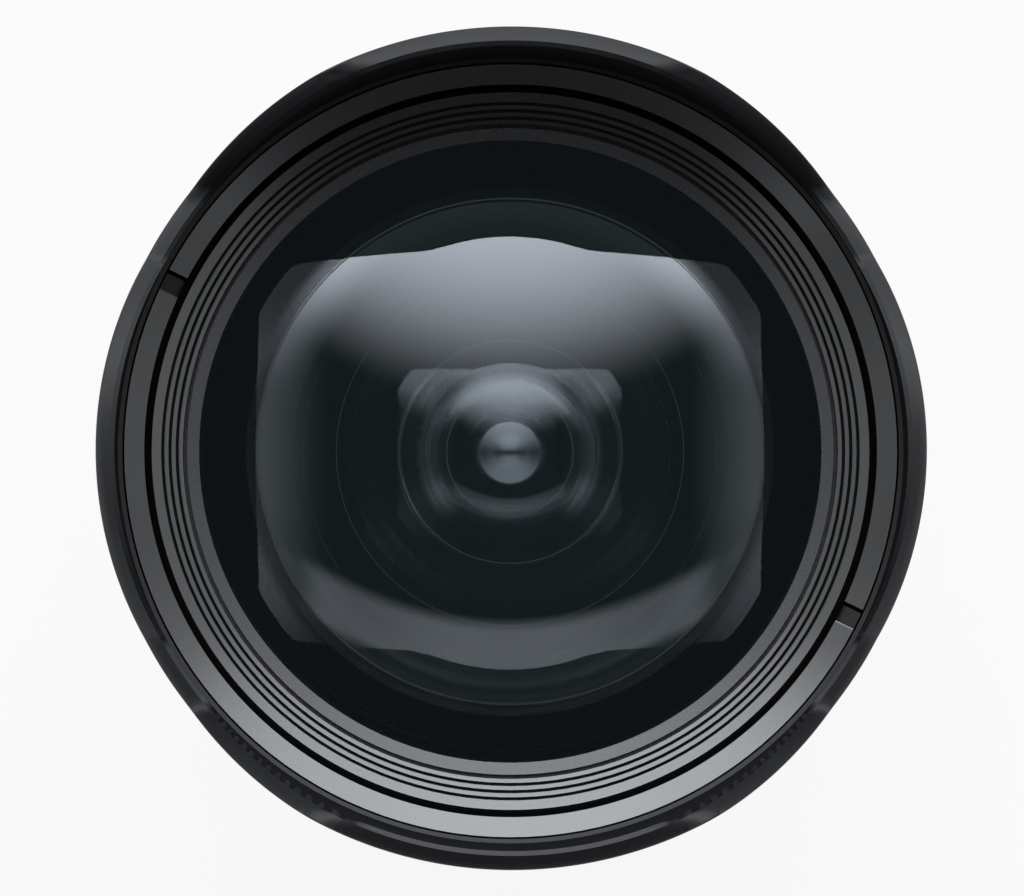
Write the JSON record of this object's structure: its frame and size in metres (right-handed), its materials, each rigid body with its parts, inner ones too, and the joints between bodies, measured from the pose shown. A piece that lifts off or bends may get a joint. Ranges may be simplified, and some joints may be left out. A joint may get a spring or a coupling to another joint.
{
  "type": "wide-angle zoom lens",
  "caption": "Wide-angle zoom lens with petal hood, turning zoom and focus rings, cam-driven glass groups, an iris and a camera bayonet.",
  "frame": {"origin": "centre of the camera flange face, on the optical axis", "axes": "+Z along the optical axis towards the front glass, +Y up as the lens is held on a camera"},
  "size_m": [0.0917, 0.0916, 0.16],
  "materials": {
    "plated_brass": "bright chrome plate on brass",
    "plated_screws": "nickel-plated steel",
    "seal_rubber": "matt seal rubber",
    "moulded_black": "moulded matt",
    "gold_contacts": "gold plated",
    "flocked_black": "anti-glare matt",
    "anodised_black": "fine-blasted black anodised",
    "bezel_black": "satin black anodised",
    "cell_black": "matt black anodised",
    "tube_aluminium": "black anodised, machined",
    "cam_brass": "hard anodised, machined",
    "roller_brass": "turned",
    "ground_steel": "ground",
    "motor_steel": "plated can",
    "board_green": "solder mask",
    "cable_amber": "polyimide film",
    "grip_rubber": "matt moulded rubber",
    "hood_plastic": "fine-grained moulded",
    "switch_plastic": "satin moulded",
    "blade_steel": "blackened spring steel",
    "coated_glass": "multi-coated polished glass"
  },
  "bodies": {
    "barrel": {"mount_bayonet": "plated_brass", "mount_screws": "plated_screws", "mount_seal": "seal_rubber", "contact_block": "moulded_black", "contact_pins": "gold_contacts", "rear_baffle": "flocked_black", "rear_barrel": "anodised_black", "frame_screws": "plated_screws", "main_sleeve": "tube_aluminium", "guide_tube": "tube_aluminium", "cam_retaining_ring": "tube_aluminium", "mid_barrel": "anodised_black", "front_barrel": "anodised_black", "front_bezel": "bezel_black", "focus_rods": "ground_steel", "focus_front_plate": "moulded_black", "focus_motor": "motor_steel", "rear_group_cell": "cell_black", "element_7": "coated_glass", "element_8": "coated_glass", "circuit_board": "board_green", "flex_cable": "cable_amber"},
    "zoom": {"zoom_ring": "anodised_black", "zoom_grip": "grip_rubber", "zoom_key": "ground_steel", "cam_tube": "cam_brass"},
    "front_group": {"front_group_barrel": "cell_black", "front_retaining_ring": "bezel_black", "front_element": "coated_glass", "element_2": "coated_glass", "element_3": "coated_glass", "element_4": "coated_glass", "inner_retaining_ring": "bezel_black", "front_group_rollers": "roller_brass"},
    "variator": {"variator_carriage": "cell_black", "element_5": "coated_glass", "element_6": "coated_glass", "variator_rollers": "roller_brass", "iris_base": "cell_black", "iris_cover": "cell_black", "iris_motor": "motor_steel"},
    "iris_drive": {"iris_ring": "moulded_black"},
    "blade_1": {"iris_blade_1": "blade_steel"},
    "blade_2": {"iris_blade_2": "blade_steel"},
    "blade_3": {"iris_blade_3": "blade_steel"},
    "blade_4": {"iris_blade_4": "blade_steel"},
    "blade_5": {"iris_blade_5": "blade_steel"},
    "blade_6": {"iris_blade_6": "blade_steel"},
    "blade_7": {"iris_blade_7": "blade_steel"},
    "blade_8": {"iris_blade_8": "blade_steel"},
    "blade_9": {"iris_blade_9": "blade_steel"},
    "focus_unit": {"focus_carriage": "moulded_black", "focus_element": "coated_glass"},
    "focus_screw": {"lead_screw": "ground_steel"},
    "focus_ring": {"focus_ring": "anodised_black", "focus_grip": "grip_rubber"},
    "hood": {"lens_hood": "hood_plastic"},
    "mode_switch": {"focus_mode_switch": "switch_plastic"},
    "hold_button": {"focus_hold_button": "switch_plastic"}
  },
  "joints": [
    {"name": "zoom_turn", "type": "hinge", "parent": "barrel", "child": "zoom", "pos_m": [0, 0, 0.048], "axis": [0, 0, 1], "range_deg": [0, 75]},
    {"name": "front_group_travel", "type": "slide", "parent": "barrel", "child": "front_group", "axis": [0, 0, 1], "range_m": [-0.009, 0]},
    {"name": "variator_travel", "type": "slide", "parent": "barrel", "child": "variator", "axis": [0, 0, 1], "range_m": [0, 0.014]},
    {"name": "iris_turn", "type": "hinge", "parent": "variator", "child": "iris_drive", "pos_m": [0, 0, 0.0565], "axis": [0, 0, 1], "range_deg": [0, 30]},
    {"name": "blade_1_swing", "type": "hinge", "parent": "variator", "child": "blade_1", "pos_m": [0.0172, 0, 0.0545], "axis": [0, 0, 1], "range_deg": [0, 39]},
    {"name": "blade_2_swing", "type": "hinge", "parent": "variator", "child": "blade_2", "pos_m": [0.01318, 0.01106, 0.0545], "axis": [0, 0, 1], "range_deg": [0, 39]},
    {"name": "blade_3_swing", "type": "hinge", "parent": "variator", "child": "blade_3", "pos_m": [0.00299, 0.01694, 0.0545], "axis": [0, 0, 1], "range_deg": [0, 39]},
    {"name": "blade_4_swing", "type": "hinge", "parent": "variator", "child": "blade_4", "pos_m": [-0.0086, 0.0149, 0.0545], "axis": [0, 0, 1], "range_deg": [0, 39]},
    {"name": "blade_5_swing", "type": "hinge", "parent": "variator", "child": "blade_5", "pos_m": [-0.01616, 0.00588, 0.0545], "axis": [0, 0, 1], "range_deg": [0, 39]},
    {"name": "blade_6_swing", "type": "hinge", "parent": "variator", "child": "blade_6", "pos_m": [-0.01616, -0.00588, 0.0545], "axis": [0, 0, 1], "range_deg": [0, 39]},
    {"name": "blade_7_swing", "type": "hinge", "parent": "variator", "child": "blade_7", "pos_m": [-0.0086, -0.0149, 0.0545], "axis": [0, 0, 1], "range_deg": [0, 39]},
    {"name": "blade_8_swing", "type": "hinge", "parent": "variator", "child": "blade_8", "pos_m": [0.00299, -0.01694, 0.0545], "axis": [0, 0, 1], "range_deg": [0, 39]},
    {"name": "blade_9_swing", "type": "hinge", "parent": "variator", "child": "blade_9", "pos_m": [0.01318, -0.01106, 0.0545], "axis": [0, 0, 1], "range_deg": [0, 39]},
    {"name": "focus_travel", "type": "slide", "parent": "barrel", "child": "focus_unit", "axis": [0, 0, 1], "range_m": [0, 0.005]},
    {"name": "focus_screw_turn", "type": "hinge", "parent": "barrel", "child": "focus_screw", "pos_m": [0.026, 0, 0.024], "axis": [0, 0, 1], "range_deg": [0, 720]},
    {"name": "focus_ring_turn", "type": "hinge", "parent": "barrel", "child": "focus_ring", "pos_m": [0, 0, 0.089], "axis": [0, 0, 1], "continuous": true},
    {"name": "hood_turn", "type": "hinge", "parent": "barrel", "child": "hood", "pos_m": [0, 0, 0.11], "axis": [0, 0, 1], "range_deg": [0, 60]},
    {"name": "mode_switch_slide", "type": "slide", "parent": "barrel", "child": "mode_switch", "axis": [0, 0, 1], "range_m": [0, 0.003]},
    {"name": "hold_button_press", "type": "slide", "parent": "barrel", "child": "hold_button", "axis": [-0.8192, -0.5736, 0], "range_m": [0, 0.0006], "stiffness_N_per_m": 1500, "springref_m": -0.0003}
  ],
  "couplings": [
    {"joint": "front_group_travel", "follows": "zoom_turn", "m_per_rad": -0.0068755},
    {"joint": "variator_travel", "follows": "zoom_turn", "m_per_rad": 0.010695},
    {"joint": "focus_screw_turn", "follows": "focus_travel", "rad_per_m": 2513.3},
    {"joint": "blade_1_swing", "follows": "iris_turn", "ratio": 1.3},
    {"joint": "blade_2_swing", "follows": "iris_turn", "ratio": 1.3},
    {"joint": "blade_3_swing", "follows": "iris_turn", "ratio": 1.3},
    {"joint": "blade_4_swing", "follows": "iris_turn", "ratio": 1.3},
    {"joint": "blade_5_swing", "follows": "iris_turn", "ratio": 1.3},
    {"joint": "blade_6_swing", "follows": "iris_turn", "ratio": 1.3},
    {"joint": "blade_7_swing", "follows": "iris_turn", "ratio": 1.3},
    {"joint": "blade_8_swing", "follows": "iris_turn", "ratio": 1.3},
    {"joint": "blade_9_swing", "follows": "iris_turn", "ratio": 1.3}
  ]
}
